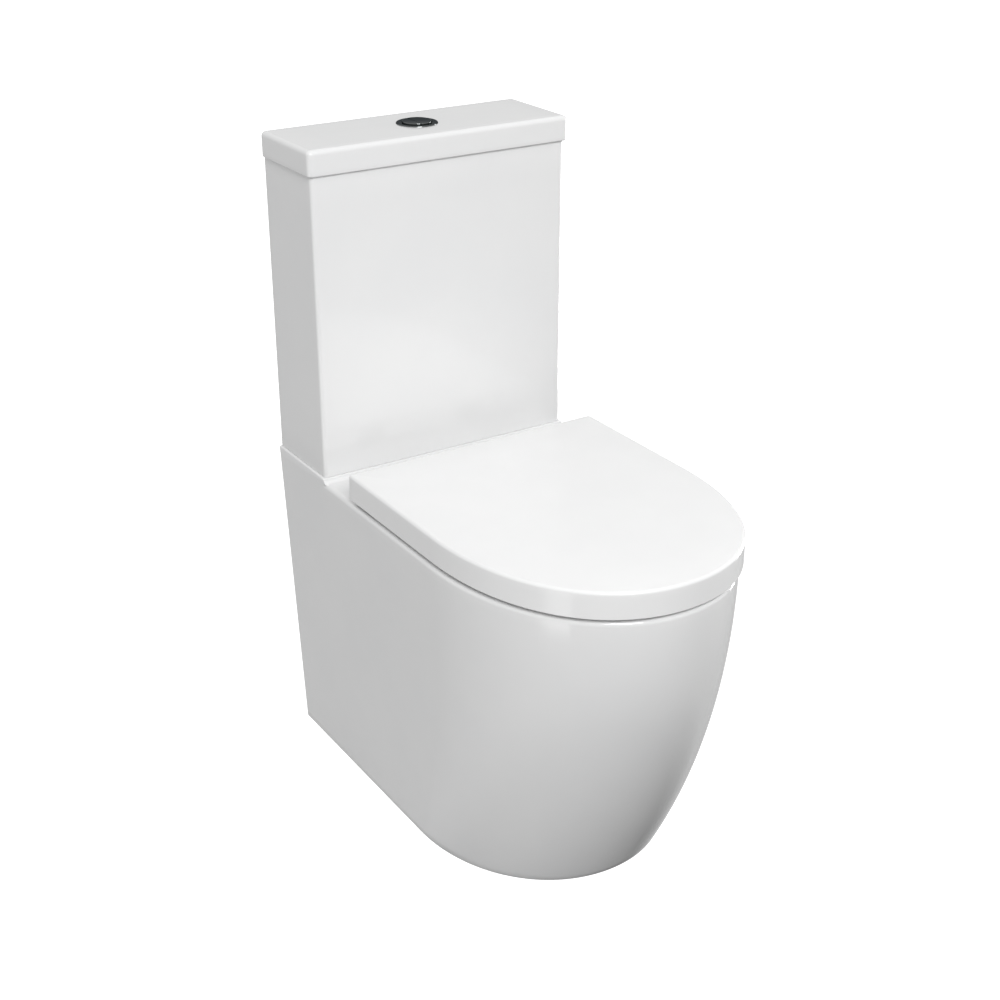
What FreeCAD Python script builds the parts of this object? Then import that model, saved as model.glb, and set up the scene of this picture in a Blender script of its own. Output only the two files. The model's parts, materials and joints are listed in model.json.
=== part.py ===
import FreeCAD, Part
import math
import os

# Close coupled toilet, back to the wall, with a wrap-over seat and a dual flush button.
# Row frame in millimetres: +Z up, the front faces -Y, origin on the floor under the middle.
# Depths called "back" are measured forward from the rear plane, which stands at the wall.

V = FreeCAD.Vector

# Whole object
overall_depth = 634.0           # rear plane to the front of the seat cover
rear_y = overall_depth / 2

# Pan
rim_z = 416.5
platform_step = 6.0             # the cistern stands this much above the rim
platform_back = 127.0
pan_top_width = 359.5
pan_floor_width = 324.0
pan_top_front = 630.7
pan_floor_front = 513.5
pan_top_curve = 239.7           # length of the rounded front, at the rim
pan_floor_curve = 192.7
pan_front_power = 1.97          # how the front sweeps in towards the floor
pan_front_weight = 0.75         # fullness of the rounded front, 0.707 is an ellipse
pan_wall = 12.0
deck_thickness = 16.0
rim_edge_r = 6.0
platform_fillet_r = 4.0         # where the deck runs into the step
bowl_wall = 12.0
bowl_floor_z = 72.0
trap_outer_r = 51.0
trap_wall = 11.0
trap_dip_z = 112.0              # height of the trap's axis at the sump
trap_weir_z = 236.0
outlet_z = 180.0
outlet_back = 40.0
outlet_straight = 44.0
trap_rise_back = 326.0          # middle of the rising leg
trap_crest_backs = (223.0, 169.0)
inlet_chamber_r = 59.0
inlet_bore_r = 32.0
gasket_height = 22.0
gasket_r = 47.0
seat_hole_r = 7.0

# Cistern, all on one centre line with the flush inlet
cistern_width = 354.0
cistern_depth = 125.5
cistern_top_z = 804.0
cistern_wall = 9.0
cistern_floor = 12.0
cistern_corner_r = 5.0
cistern_rear_corner_r = 2.0
flush_back = 65.0
coupling_bolt_x = 76.0
inlet_x = -118.0
inlet_notch_width = 54.0
inlet_notch_back = 92.0

# Lid and button
lid_width = 362.0
lid_depth = 130.0
lid_height = 31.0
lid_edge_r = 6.0
lid_corner_r = 6.5
lid_top_wall = 10.0
lid_rim_wall = 13.0
lid_lip_drop = 5.0
button_hole_r = 20.5
bezel_r = 26.0
bezel_thickness = 1.4
button_r = 18.5
button_proud = 3.4
button_depth = 12.0
button_split_x = -4.0           # the small half is the short flush
push_rod_x = 10.5
push_rod_r = 3.0
button_travel = 6.0

# Seat
seat_width = 358.0
seat_back = 192.7
seat_curve = 240.4
seat_front_weight = 0.814
cover_bottom_z = 421.5
cover_top_z = 454.5
cover_wall = 5.0
cover_top_wall = 6.0
cover_edge_r = 4.0
cover_rear_edge_r = 9.0
seat_corner_r = 4.5
ring_bottom_z = 420.5
ring_thickness = 20.0
ring_gap = 1.5                  # ring to cover, all round
ring_hole_half_width = 112.0
ring_hole_half_length = 138.0
ring_hole_back = 442.0
ring_edge_r = 5.0
hinge_x = 77.5
hinge_back = 205.2
hinge_z = 440.0
knuckle_r = 7.0
knuckle_width = 10.0
knuckle_gap = 2.0               # pillar to knuckle, along the pin
pillar_half = 8.0
base_plate_r = 14.0
hinge_pin_r = 4.0
ring_hinge_room = 22.5          # hinge axis to the ring's rear edge

# Clearances
rest_gap = 0.3                  # between pieces that only rest on each other and move apart
running_clearance = 0.05
thread_clearance = 0.05
hole_clearance = 0.5
side_gap = 1.0

# Threads and tails that meet in more than one piece
bolt_r = 4.0
valve_tail_r = 27.0
back_nut_r = 36.0


def y_at(back):
    return rear_y - back


def box(x0, x1, y0, y1, z0, z1):
    return Part.makeBox(x1 - x0, y1 - y0, z1 - z0, V(x0, y0, z0))


def rod(x, y, z0, z1, r):
    return Part.makeCylinder(r, z1 - z0, V(x, y, z0))


def tube(x, y, z0, z1, r_out, r_in):
    return rod(x, y, z0, z1, r_out).cut(rod(x, y, z0 - 1, z1 + 1, r_in))


def rod_x(x0, x1, y, z, r):
    return Part.makeCylinder(r, x1 - x0, V(x0, y, z), V(1, 0, 0))


def hexagon(x, y, z0, z1, across, bore_r):
    corner = across / math.sqrt(3)
    points = [V(x + corner * math.cos(math.radians(60 * i)),
                y + corner * math.sin(math.radians(60 * i)), z0) for i in range(7)]
    prism = Part.Face(Part.makePolygon(points)).extrude(V(0, 0, z1 - z0))
    return prism.cut(rod(x, y, z0 - 1, z1 + 1, bore_r))


def mirrored(shape):
    return Part.makeCompound([shape, shape.mirror(V(0, 0, 0), V(1, 0, 0))])


def quarter(start, corner, end, weight):
    curve = Part.BezierCurve()
    curve.setPoles([start, corner, end])
    curve.setWeight(2, weight)
    return curve.toShape()


def d_wire(half, y_back, y_front, curve, z, weight, corner=0.0):
    """A D outline: a straight rear, straight sides and a rounded front."""
    round_weight = math.sqrt(0.5)
    y_side = y_front + curve
    edges = [Part.makeLine(V(corner - half, y_back, z), V(half - corner, y_back, z))]
    if corner:
        edges.append(quarter(V(half - corner, y_back, z), V(half, y_back, z),
                             V(half, y_back - corner, z), round_weight))
    edges.append(Part.makeLine(V(half, y_back - corner, z), V(half, y_side, z)))
    edges.append(quarter(V(half, y_side, z), V(half, y_front, z), V(0, y_front, z), weight))
    edges.append(quarter(V(0, y_front, z), V(-half, y_front, z), V(-half, y_side, z), weight))
    edges.append(Part.makeLine(V(-half, y_side, z), V(-half, y_back - corner, z)))
    if corner:
        edges.append(quarter(V(-half, y_back - corner, z), V(-half, y_back, z),
                             V(corner - half, y_back, z), round_weight))
    return Part.Wire(edges)


def oval_wire(y, half_x, half_y, z):
    weight = math.sqrt(0.5)
    east, north = V(half_x, y, z), V(0, y + half_y, z)
    west, south = V(-half_x, y, z), V(0, y - half_y, z)
    return Part.Wire([
        quarter(east, V(half_x, y + half_y, z), north, weight),
        quarter(north, V(-half_x, y + half_y, z), west, weight),
        quarter(west, V(-half_x, y - half_y, z), south, weight),
        quarter(south, V(half_x, y - half_y, z), east, weight)])


def d_prism(half, y_back, y_front, curve, z0, z1, weight, corner=0.0):
    wire = d_wire(half, y_back, y_front, curve, z0, weight, corner)
    return Part.Face(wire).extrude(V(0, 0, z1 - z0))


def upright_edges(shape, y_low, y_high):
    return edges_at(shape, lambda m, b: b.XLength + b.YLength < 0.01 and y_low < m.y < y_high)


def rounded_box(half_x, y0, y1, z0, z1, front_corner, rear_corner=None):
    body = box(-half_x, half_x, y0, y1, z0, z1)
    middle = (y0 + y1) / 2
    body = body.makeFillet(front_corner, upright_edges(body, y0 - 1, middle))
    return body.makeFillet(rear_corner or front_corner, upright_edges(body, middle, y1 + 1))


def edges_at(shape, test):
    """Edges whose middle point and box pass the test."""
    found = []
    for edge in shape.Edges:
        middle = edge.valueAt((edge.FirstParameter + edge.LastParameter) / 2)
        if test(middle, edge.BoundBox):
            found.append(edge)
    return found


def level_edges(shape, z, test=lambda middle: True):
    return edges_at(shape, lambda m, b: b.ZLength < 0.01 and abs(m.z - z) < 0.01 and test(m))


def rounded_path(points, radii):
    """Straight runs in the plane x = 0, joined by tangent arcs. Points are (y, z)."""
    places = [V(0, y, z) for y, z in points]
    edges = []
    last = places[0]
    for i in range(1, len(places) - 1):
        into = (places[i] - places[i - 1]).normalize()
        out = (places[i + 1] - places[i]).normalize()
        turn = into.getAngle(out)
        reach = radii[i - 1] * math.tan(turn / 2)
        start = places[i] - into * reach
        end = places[i] + out * reach
        towards = (out - into).normalize()
        middle = places[i] + towards * (radii[i - 1] / math.cos(turn / 2) - radii[i - 1])
        edges.append(Part.makeLine(last, start))
        edges.append(Part.Arc(start, middle, end).toShape())
        last = end
    edges.append(Part.makeLine(last, places[-1]))
    return Part.Wire(edges)


def swept(path, radius):
    start = path.Vertexes[0].Point
    disc = Part.Wire([Part.makeCircle(radius, start, V(0, 1, 0))])
    return path.makePipeShell([disc], True, False)


nodes = {}

# ---------------------------------------------------------------- pan
platform_z = rim_z + platform_step
deck_z = rim_z - deck_thickness
flush_y = y_at(flush_back)
hinge_y = y_at(hinge_back)


def pan_section(z, inset, y_back):
    t = z / rim_z
    half = (pan_floor_width + (pan_top_width - pan_floor_width) * t) / 2 - inset
    sweep = 1 - abs(1 - t) ** pan_front_power
    front = pan_floor_front + (pan_top_front - pan_floor_front) * sweep - inset
    curve = pan_floor_curve + (pan_top_curve - pan_floor_curve) * t - inset
    return d_wire(half, y_back, y_at(front), curve, z, pan_front_weight)


def pan_loft(z0, z1, inset, y_back):
    steps = 6
    wires = [pan_section(z0 + (z1 - z0) * i / steps, inset, y_back) for i in range(steps + 1)]
    return Part.makeLoft(wires, True, False)


# Bowl levels: height, middle back from the rear plane, half width, half length
bowl_levels = [(rim_z + 1, 438, 120, 152), (380, 438, 121, 152), (330, 440, 114, 142),
               (270, 440, 96, 118), (210, 428, 74, 90), (150, 412, 56, 63),
               (100, 405, 45, 47), (bowl_floor_z, 403, 36, 37)]


def bowl_loft(levels, grow, drop):
    wires = []
    for i, (z, back, half_x, half_y) in enumerate(levels):
        low = drop if i == len(levels) - 1 else 0
        wires.append(oval_wire(y_at(back), half_x + grow, half_y + grow, z - low))
    return Part.makeLoft(wires, True, False)


def trap_path(start_back, end_back):
    points = [(y_at(start_back), trap_dip_z), (y_at(trap_rise_back), trap_dip_z),
              (y_at(trap_crest_backs[0]), trap_weir_z), (y_at(trap_crest_backs[1]), trap_weir_z),
              (y_at(outlet_back + outlet_straight + 20), outlet_z), (y_at(end_back), outlet_z)]
    return rounded_path(points, [60, 60, 55, 55])


def build_pan():
    step_y = y_at(platform_back)
    body = pan_loft(0, platform_z, 0, rear_y)
    body = body.cut(box(-300, 300, -rear_y - 50, step_y, rim_z, platform_z + 1))
    body = body.makeFillet(rim_edge_r, level_edges(body, rim_z, lambda m: m.y < step_y - 1))
    body = body.makeFillet(platform_fillet_r, level_edges(body, rim_z))
    body = body.cut(pan_loft(-1, deck_z, pan_wall, rear_y + 20))

    bowl_top = [(deck_z + 4,) + bowl_levels[0][1:]] + bowl_levels[1:]
    body = body.fuse(bowl_loft(bowl_top, bowl_wall, bowl_wall))
    body = body.fuse(swept(trap_path(385, outlet_back), trap_outer_r))
    inlet_outer = rod(0, flush_y, platform_z - 88, platform_z, inlet_bore_r + bowl_wall)
    chamber = rod(0, flush_y, platform_z - 36, platform_z, inlet_chamber_r)
    duct_outer = box(-40, 40, y_at(300), flush_y, rim_z - 77, deck_z + 2)
    body = body.fuse([inlet_outer, chamber, duct_outer])

    body = body.cut(bowl_loft(bowl_levels, 0, 0))
    body = body.cut(swept(trap_path(400, outlet_back - 10), trap_outer_r - trap_wall))
    cuts = [rod(0, flush_y, rim_z - 72, platform_z + 1, inlet_bore_r),
            rod(0, flush_y, platform_z - gasket_height, platform_z + 1, gasket_r + side_gap * 3),
            box(-28, 28, y_at(305), flush_y, rim_z - 65, rim_z - 28)]
    for side in (-1, 1):
        cuts.append(rod(side * coupling_bolt_x, flush_y, deck_z - 1, platform_z + 1, 7))
        cuts.append(rod(side * hinge_x, hinge_y, deck_z - 1, rim_z + 1, seat_hole_r))
        middle = side * abs(inlet_x)
        cuts.append(box(middle - inlet_notch_width / 2, middle + inlet_notch_width / 2,
                        y_at(inlet_notch_back), rear_y + 1, deck_z - 1, platform_z + 1))
    return body.cut(cuts)


nodes["pan"] = build_pan()
nodes["coupling_gasket"] = tube(0, flush_y, platform_z - gasket_height, platform_z, gasket_r,
                                back_nut_r + side_gap)

# ---------------------------------------------------------------- cistern
cistern_front_y = y_at(cistern_depth)
cistern_floor_z = platform_z + cistern_floor
inlet_thread_r = 10.48
inlet_shank_r = 12.0


def build_cistern():
    body = rounded_box(cistern_width / 2, cistern_front_y, rear_y, platform_z, cistern_top_z,
                       cistern_corner_r, cistern_rear_corner_r)
    room = rounded_box(cistern_width / 2 - cistern_wall, cistern_front_y + cistern_wall,
                       rear_y - cistern_wall, cistern_floor_z, cistern_top_z + 1, 12)
    holes = [rod(0, flush_y, platform_z - 1, cistern_floor_z + 1, valve_tail_r + side_gap),
             rod(inlet_x, flush_y, platform_z - 1, cistern_floor_z + 1, inlet_shank_r + hole_clearance)]
    for side in (-1, 1):
        holes.append(rod(side * coupling_bolt_x, flush_y, platform_z - 1, cistern_floor_z + 1,
                         bolt_r + 2 * hole_clearance))
    return body.cut([room] + holes)


def build_lid():
    half = lid_width / 2
    top = cistern_top_z + lid_height
    body = rounded_box(half, y_at(lid_depth), rear_y, cistern_top_z, top, lid_corner_r)
    body = body.makeFillet(lid_edge_r, level_edges(body, top))
    room = rounded_box(half - lid_rim_wall, y_at(lid_depth - lid_rim_wall), rear_y - lid_rim_wall,
                       cistern_top_z - 1, top - lid_top_wall, 6)
    lip_half = cistern_width / 2 - cistern_wall - side_gap
    lip_y0 = cistern_front_y + cistern_wall + side_gap
    lip_y1 = rear_y - cistern_wall - side_gap
    lip = rounded_box(lip_half, lip_y0, lip_y1, cistern_top_z - lid_lip_drop, cistern_top_z + 4, 11)
    lip = lip.cut(rounded_box(lip_half - 6, lip_y0 + 6, lip_y1 - 6,
                              cistern_top_z - lid_lip_drop - 1, cistern_top_z + 5, 6))
    return body.cut(room).fuse(lip).removeSplitter().cut(
        rod(0, flush_y, cistern_top_z, top + 1, button_hole_r))


nodes["cistern"] = build_cistern()
nodes["cistern_lid"] = build_lid()

# ------------------------------------------------- what holds the cistern to the pan
washer_thickness = 4.0
bolt_head_z = cistern_floor_z + washer_thickness
under_washer_z = deck_z - 3
steel_washer_z = under_washer_z - 1.5


def build_wing_nut(x):
    hub = rod(x, flush_y, steel_washer_z - 9, steel_washer_z, 8)
    wings = box(x - 15, x + 15, flush_y - 1.5, flush_y + 1.5, steel_washer_z - 13, steel_washer_z - 3)
    return hub.fuse(wings).cut(rod(x, flush_y, steel_washer_z - 20, steel_washer_z + 1,
                                   bolt_r + thread_clearance))


bolt = rod(coupling_bolt_x, flush_y, deck_z - 28, bolt_head_z, bolt_r)
bolt = bolt.fuse(rod(coupling_bolt_x, flush_y, bolt_head_z, bolt_head_z + 5, 10))
bolt = bolt.cut(box(coupling_bolt_x - 11, coupling_bolt_x + 11, flush_y - 0.8, flush_y + 0.8,
                    bolt_head_z + 2.5, bolt_head_z + 6))
bolt_room_r = bolt_r + thread_clearance
nodes["coupling_bolts"] = mirrored(bolt)
nodes["bolt_rubber_washers"] = mirrored(
    tube(coupling_bolt_x, flush_y, cistern_floor_z, bolt_head_z, 13, bolt_room_r))
nodes["bolt_soft_washers"] = mirrored(
    tube(coupling_bolt_x, flush_y, under_washer_z, deck_z, 14, bolt_room_r))
nodes["bolt_steel_washers"] = mirrored(
    tube(coupling_bolt_x, flush_y, steel_washer_z, under_washer_z, 12, bolt_room_r))
nodes["wing_nuts"] = mirrored(build_wing_nut(coupling_bolt_x))

# ---------------------------------------------------------------- flush valve
valve_base_r = 42.0
valve_body_r = 36.0
valve_body_wall = 3.0
valve_window_z = cistern_floor_z + 50
valve_body_top_z = cistern_floor_z + 215
overflow_r = 13.0
overflow_top_z = cistern_floor_z + 195
seal_thickness = 4.0
valve_lift = 12.0
cap_top_z = valve_body_top_z + 38
cap_plate = 6.0
pad_r = 9.5
pad_stem_r = 5.0
pad_gap = 2.0


def build_valve_base():
    flange_top = cistern_floor_z + 8
    body = rod(0, flush_y, cistern_floor_z + 3, flange_top, valve_base_r)
    body = body.fuse(rod(0, flush_y, platform_z - 36, flange_top, valve_tail_r))
    body = body.cut(rod(0, flush_y, platform_z - 40, flange_top + 1, valve_tail_r - 4))
    for i in range(4):
        post = box(valve_body_r - 4, valve_body_r, -4, 4, flange_top - 1, valve_window_z)
        post.rotate(V(0, 0, 0), V(0, 0, 1), 45 + 90 * i)
        post.translate(V(0, flush_y, 0))
        body = body.fuse(post)
    return body


def build_valve_body():
    shell = tube(0, flush_y, valve_window_z, valve_body_top_z, valve_body_r,
                 valve_body_r - valve_body_wall)
    floor = tube(0, flush_y, valve_window_z + 60, valve_window_z + 63, valve_body_r - 1,
                 overflow_r + side_gap)
    return shell.fuse(floor)


def build_valve_cap():
    outer = valve_body_r + 2.5
    cap = rod(0, flush_y, valve_body_top_z - 6, cap_top_z, outer)
    cap = cap.cut(rod(0, flush_y, valve_body_top_z - 7, valve_body_top_z, valve_body_r + thread_clearance))
    cap = cap.cut(rod(0, flush_y, valve_body_top_z - 7, cap_top_z - cap_plate, valve_body_r - 3))
    stems = [rod(side * push_rod_x, flush_y, cap_top_z - 20, cap_top_z + 1,
                 pad_stem_r + running_clearance) for side in (-1, 1)]
    return cap.cut(stems)


def build_pad(side):
    low = cap_top_z + button_travel + pad_gap
    head = rod(side * push_rod_x, flush_y, low, low + 6, pad_r)
    return head.fuse(rod(side * push_rod_x, flush_y, cap_top_z - 16, low, pad_stem_r))


seal_z = cistern_floor_z + 8 + rest_gap
nodes["flush_valve_base"] = build_valve_base()
nodes["flush_valve_washer"] = tube(0, flush_y, cistern_floor_z, cistern_floor_z + 3, valve_base_r - 2,
                                   valve_tail_r + running_clearance)
nodes["flush_valve_nut"] = tube(0, flush_y, platform_z - 14, platform_z, back_nut_r,
                                valve_tail_r + thread_clearance)
nodes["flush_valve_body"] = build_valve_body()
nodes["flush_valve_cap"] = build_valve_cap()
nodes["flush_seal"] = tube(0, flush_y, seal_z, seal_z + seal_thickness, valve_tail_r + 3, overflow_r - 2)
nodes["overflow_tube"] = tube(0, flush_y, seal_z + seal_thickness, overflow_top_z, overflow_r,
                              overflow_r - 2).fuse(
    tube(0, flush_y, seal_z + seal_thickness, seal_z + seal_thickness + 4, valve_tail_r + 1,
         overflow_r - 2))
nodes["full_flush_pad"] = build_pad(1)
nodes["half_flush_pad"] = build_pad(-1)

# ---------------------------------------------------------------- fill valve
riser_r = 12.0
riser_top_z = cistern_floor_z + 262
inlet_tail = 50.0
fill_nut_height = 10.0
float_side = 58.0
float_height = 60.0
float_travel = 30.0
float_z = riser_top_z - float_height - float_travel - 4
head_z = riser_top_z
pivot_x = inlet_x - 16
pivot_z = head_z + 22
lever_reach = 37.7
lever_y = flush_y - 19.0
lever_thickness = 3.0
link_pin_r = 1.2
float_y = flush_y


def build_fill_body():
    body = rod(inlet_x, flush_y, platform_z - inlet_tail, platform_z, inlet_thread_r)
    body = body.fuse(rod(inlet_x, flush_y, platform_z - fill_nut_height, cistern_floor_z + 8,
                         inlet_shank_r))
    body = body.fuse(rod(inlet_x, flush_y, cistern_floor_z + 3, cistern_floor_z + 8, 17))
    body = body.fuse(rod(inlet_x, flush_y, cistern_floor_z + 8, riser_top_z, riser_r))
    return body.cut(rod(inlet_x, flush_y, platform_z - inlet_tail - 1, riser_top_z + 1, 7))


def build_fill_head():
    body = box(inlet_x - 22, inlet_x + 16, flush_y - 14, flush_y + 14, head_z, head_z + 34)
    body = body.makeFillet(4, upright_edges(body, flush_y - 15, flush_y + 15))
    pivot = Part.makeCylinder(3, 10, V(pivot_x, flush_y - 13, pivot_z), V(0, -1, 0))
    cap = rod(inlet_x, flush_y, head_z + 34, head_z + 40, 11)
    room = rod(inlet_x, flush_y, head_z - 1, head_z + 20, 7)
    return body.fuse([pivot, cap]).cut(room)


def build_float():
    half = float_side / 2
    low = box(inlet_x - half, inlet_x + half, float_y - half, float_y + half, float_z,
              float_z + float_height)
    low = low.makeFillet(8, upright_edges(low, float_y - half - 1, float_y + half + 1))
    low = low.cut(rod(inlet_x, flush_y, float_z - 1, float_z + float_height + 1, riser_r + side_gap))
    return low


def build_link():
    x = pivot_x + lever_reach
    y = lever_y - lever_thickness / 2 - 3
    pin_z = pivot_z - float_travel / 2
    post = rod(x, y, float_z + float_height, pin_z + 3, 1.8)
    pin = Part.makeCylinder(link_pin_r, 6.5, V(x, y, pin_z), V(0, 1, 0))
    return post.fuse(pin)


def build_lever():
    tilt = -math.degrees(math.atan2(float_travel / 2, lever_reach))
    far = math.hypot(lever_reach, float_travel / 2)
    bar = box(0, far + 6, -lever_thickness / 2, lever_thickness / 2, -4.5, 4.5)
    hub = Part.makeCylinder(6.5, lever_thickness, V(0, -lever_thickness / 2, 0), V(0, 1, 0))
    bore = Part.makeCylinder(3 + running_clearance, 9, V(0, -4.5, 0), V(0, 1, 0))
    slot_half = link_pin_r + 0.7
    slot = box(lever_reach - 2, far + 3, -4, 4, -slot_half, slot_half)
    lever = bar.fuse(hub).cut([bore, slot])
    lever.rotate(V(0, 0, 0), V(0, 1, 0), -tilt)
    lever.translate(V(pivot_x, lever_y, pivot_z))
    return lever


nodes["fill_valve_body"] = build_fill_body()
nodes["fill_valve_washer"] = tube(inlet_x, flush_y, cistern_floor_z, cistern_floor_z + 3, 16,
                                  inlet_shank_r + running_clearance)
nodes["fill_valve_nut"] = hexagon(inlet_x, flush_y, platform_z - fill_nut_height, platform_z, 32,
                                  inlet_shank_r + thread_clearance)
nodes["fill_valve_head"] = build_fill_head()
nodes["fill_float"] = build_float()
nodes["float_link"] = build_link()
nodes["fill_lever"] = build_lever()

# ---------------------------------------------------------------- flush button in the lid
lid_top_z = cistern_top_z + lid_height
housing_r = button_hole_r - hole_clearance
housing_bore_r = button_r + 0.3
housing_z = lid_top_z - 40
guide_plate = 3.0
button_z = lid_top_z + button_proud - button_depth
spring_coil_r = 5.0
spring_wire_r = 0.6
pad_top_z = cap_top_z + button_travel + pad_gap + 6


def build_bezel():
    ring = tube(0, flush_y, lid_top_z, lid_top_z + bezel_thickness, bezel_r, housing_bore_r)
    top = level_edges(ring, lid_top_z + bezel_thickness, lambda m: abs(m.x) > housing_bore_r + 2)
    return ring.makeFillet(1.0, top)


def build_housing():
    shell = tube(0, flush_y, housing_z, lid_top_z, housing_r, housing_bore_r)
    plate = rod(0, flush_y, housing_z, housing_z + guide_plate, housing_r - 0.5)
    holes = [rod(side * push_rod_x, flush_y, housing_z - 1, housing_z + guide_plate + 1,
                 push_rod_r + running_clearance * 2) for side in (-1, 1)]
    return shell.fuse(plate).cut(holes)


def build_button(side):
    disc = rod(0, flush_y, button_z, lid_top_z + button_proud, button_r)
    disc = disc.makeFillet(1.2, level_edges(disc, lid_top_z + button_proud))
    split_gap = 0.25
    if side > 0:
        away = box(-40, button_split_x + split_gap, flush_y - 40, flush_y + 40, button_z - 1,
                   lid_top_z + 20)
    else:
        away = box(button_split_x - split_gap, 40, flush_y - 40, flush_y + 40, button_z - 1,
                   lid_top_z + 20)
    return disc.cut(away)


def build_spring(side):
    low = housing_z + guide_plate + spring_wire_r
    high = button_z - spring_wire_r
    turns = 6
    helix = Part.makeHelix((high - low) / turns, high - low, spring_coil_r)
    start = helix.Vertexes[0].Point
    disc = Part.Wire([Part.makeCircle(spring_wire_r, start, V(0, 1, 0))])
    coil = Part.Wire(helix).makePipeShell([disc], True, True)
    coil.translate(V(side * push_rod_x, flush_y, low))
    return coil


nodes["button_bezel"] = build_bezel()
nodes["button_housing"] = build_housing()
nodes["button_lock_nut"] = hexagon(0, flush_y, lid_top_z - lid_top_wall - 8, lid_top_z - lid_top_wall,
                                   54, housing_r + thread_clearance)
for name, side in (("full", 1), ("half", -1)):
    nodes[f"{name}_flush_button"] = build_button(side)
    nodes[f"{name}_push_rod"] = rod(side * push_rod_x, flush_y, pad_top_z + rest_gap, button_z, push_rod_r)
    nodes[f"{name}_button_spring"] = build_spring(side)

# ---------------------------------------------------------------- seat
seat_half = seat_width / 2
seat_front_y = y_at(overall_depth)
seat_rear_y = y_at(seat_back)
ring_top_z = ring_bottom_z + ring_thickness
ceiling_z = cover_top_z - cover_top_wall
base_plate_top_z = rim_z + 3.5
pin_start = hinge_x - pillar_half - knuckle_gap - knuckle_width
pin_end = hinge_x + pillar_half + knuckle_gap + knuckle_width


def build_cover():
    body = d_prism(seat_half, seat_rear_y, seat_front_y, seat_curve, cover_bottom_z, cover_top_z,
                   seat_front_weight, seat_corner_r)
    body = body.makeFillet(cover_edge_r, level_edges(body, cover_top_z))
    wedge = box(-seat_half - 5, seat_half + 5, seat_rear_y - cover_rear_edge_r, seat_rear_y + 5,
                cover_bottom_z - 5, cover_bottom_z + cover_rear_edge_r)
    wedge = wedge.cut(rod_x(-seat_half - 5, seat_half + 5, seat_rear_y - cover_rear_edge_r,
                            cover_bottom_z + cover_rear_edge_r, cover_rear_edge_r))
    room = d_prism(seat_half - cover_wall, seat_rear_y - cover_wall, seat_front_y + cover_wall,
                   seat_curve - cover_wall, cover_bottom_z - 1, ceiling_z, seat_front_weight,
                   max(seat_corner_r - cover_wall, 0))
    body = body.cut([wedge, room])
    notch_low = pin_start - 2
    notch_high = hinge_x + base_plate_r + 3.5
    for side in (-1, 1):
        x0, x1 = sorted((side * notch_low, side * notch_high))
        body = body.cut(box(x0, x1, seat_rear_y - cover_wall - 1, seat_rear_y + 1,
                            cover_bottom_z - 1, ceiling_z))
        x0 = side * (hinge_x + pillar_half + knuckle_gap)
        x0, x1 = sorted((x0, x0 + side * knuckle_width))
        lug = rod_x(x0, x1, hinge_y, hinge_z, knuckle_r)
        lug = lug.fuse(box(x0, x1, hinge_y - knuckle_r, hinge_y + knuckle_r, hinge_z, ceiling_z + 1))
        body = body.fuse(lug)
    return body.cut(rod_x(-seat_half, seat_half, hinge_y, hinge_z, hinge_pin_r + running_clearance)
                    .common(box(-120, 120, hinge_y - 9, hinge_y + 9, hinge_z - 9, hinge_z + 8)))


def build_ring():
    inset = cover_wall + ring_gap
    body = d_prism(seat_half - inset, hinge_y - ring_hinge_room, seat_front_y + inset,
                   seat_curve - inset, ring_bottom_z, ring_top_z, seat_front_weight, 20)
    hole = Part.Face(oval_wire(y_at(ring_hole_back), ring_hole_half_width, ring_hole_half_length,
                               ring_bottom_z - 1)).extrude(V(0, 0, ring_thickness + 2))
    body = body.cut(hole)
    body = body.makeFillet(ring_edge_r, level_edges(body, ring_top_z))
    for side in (-1, 1):
        x0 = side * (hinge_x - pillar_half - knuckle_gap)
        x0, x1 = sorted((x0, x0 - side * knuckle_width))
        lug = rod_x(x0, x1, hinge_y, hinge_z, knuckle_r)
        arm = box(x0, x1, hinge_y - ring_hinge_room - 6, hinge_y, hinge_z - knuckle_r,
                  ring_top_z - 1)
        body = body.fuse(lug.fuse(arm))
        body = body.cut(rod_x(x0 - 1, x1 + 1, hinge_y, hinge_z, hinge_pin_r + running_clearance))
    return body


def build_pillar():
    half_depth = 5.0
    post = box(hinge_x - pillar_half, hinge_x + pillar_half, hinge_y - half_depth,
               hinge_y + half_depth, base_plate_top_z, hinge_z)
    head = rod_x(hinge_x - pillar_half, hinge_x + pillar_half, hinge_y, hinge_z, knuckle_r - 0.5)
    return post.fuse(head).cut(rod_x(0, 200, hinge_y, hinge_z, hinge_pin_r + running_clearance))


def bumpers(places, z0, z1):
    pads = []
    for x, back in places:
        pads.append(rod(x, y_at(back), z0, z1, 7))
        pads.append(rod(-x, y_at(back), z0, z1, 7))
    return Part.makeCompound(pads)


seat_bolt_z = base_plate_top_z - 2
base_plate = rod(hinge_x, hinge_y, rim_z, base_plate_top_z, base_plate_r)
base_plate = base_plate.cut(rod(hinge_x, hinge_y, rim_z - 1, base_plate_top_z + 1, 3 + thread_clearance))
base_plate = base_plate.cut(rod(hinge_x, hinge_y, seat_bolt_z, base_plate_top_z + 1,
                                5 + thread_clearance))
seat_bolt = rod(hinge_x, hinge_y, rim_z - 52, seat_bolt_z, 3)
seat_bolt = seat_bolt.fuse(rod(hinge_x, hinge_y, seat_bolt_z, base_plate_top_z, 5))
nodes["seat_cover"] = build_cover()
nodes["seat_ring"] = build_ring()
nodes["ring_bumpers"] = bumpers([(144, 330), (112, 540)], rim_z + rest_gap, ring_bottom_z)
nodes["cover_bumpers"] = bumpers([(144, 300), (100, 560)], ring_top_z + rest_gap, ceiling_z)
nodes["hinge_pillars"] = mirrored(build_pillar())
nodes["hinge_base_plates"] = mirrored(base_plate)
nodes["hinge_pins"] = mirrored(rod_x(pin_start, pin_end, hinge_y, hinge_z, hinge_pin_r))
nodes["seat_bolts"] = mirrored(seat_bolt)
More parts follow.
